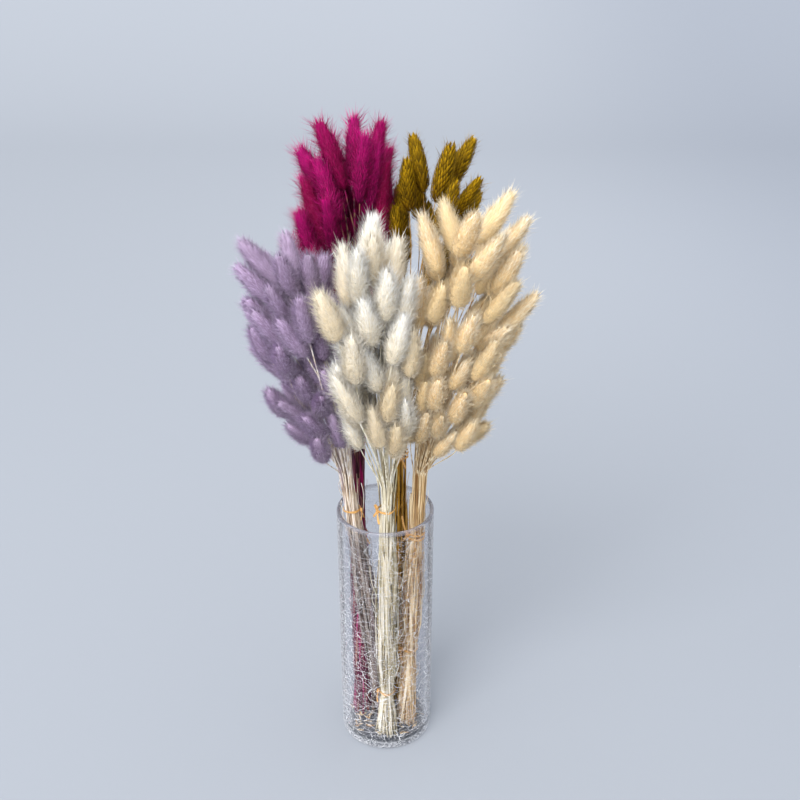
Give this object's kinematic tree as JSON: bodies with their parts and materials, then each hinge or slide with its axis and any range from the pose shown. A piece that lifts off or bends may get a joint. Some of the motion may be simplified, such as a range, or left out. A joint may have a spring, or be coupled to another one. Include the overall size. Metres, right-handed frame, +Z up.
{
  "type": "dried bunny tail grass arrangement",
  "caption": "Dried bunny tail grass in tied bunches of white, natural, mustard, magenta and lavender, standing in a tall crackle glass cylinder vase.",
  "frame": {"origin": "middle of the flat underside of the vase", "axes": "+Z up along the vase's axis towards the heads, -Y towards the front, where the white bunch stands, +X to the right, where the natural bunch leans out"},
  "size_m": [0.2772, 0.2506, 0.6881],
  "materials": {
    "glass": "clear glass with a fine net of cracks",
    "grass_white": "silky dry hair, bleached ivory, on pale straw stems",
    "grass_natural": "silky dry hair, natural beige, on straw stems",
    "grass_mustard": "dry scaly heads dyed olive mustard, on brown straw stems",
    "grass_magenta": "silky dry hair with long bristles, dyed deep magenta, stems too",
    "grass_lavender": "silky dry hair, dyed greyish lavender, on straw stems",
    "raffia": "twisted golden tan raffia, matt"
  },
  "bodies": {
    "root": {"vase": "glass", "bunch_white": "grass_white", "bunch_white_tie_1": "raffia", "bunch_white_tie_2": "raffia", "bunch_natural": "grass_natural", "bunch_natural_tie_1": "raffia", "bunch_natural_tie_2": "raffia", "bunch_mustard": "grass_mustard", "bunch_mustard_tie_1": "raffia", "bunch_magenta": "grass_magenta", "bunch_magenta_tie_1": "raffia", "bunch_lavender": "grass_lavender", "bunch_lavender_tie_1": "raffia"}
  },
  "joints": []
}
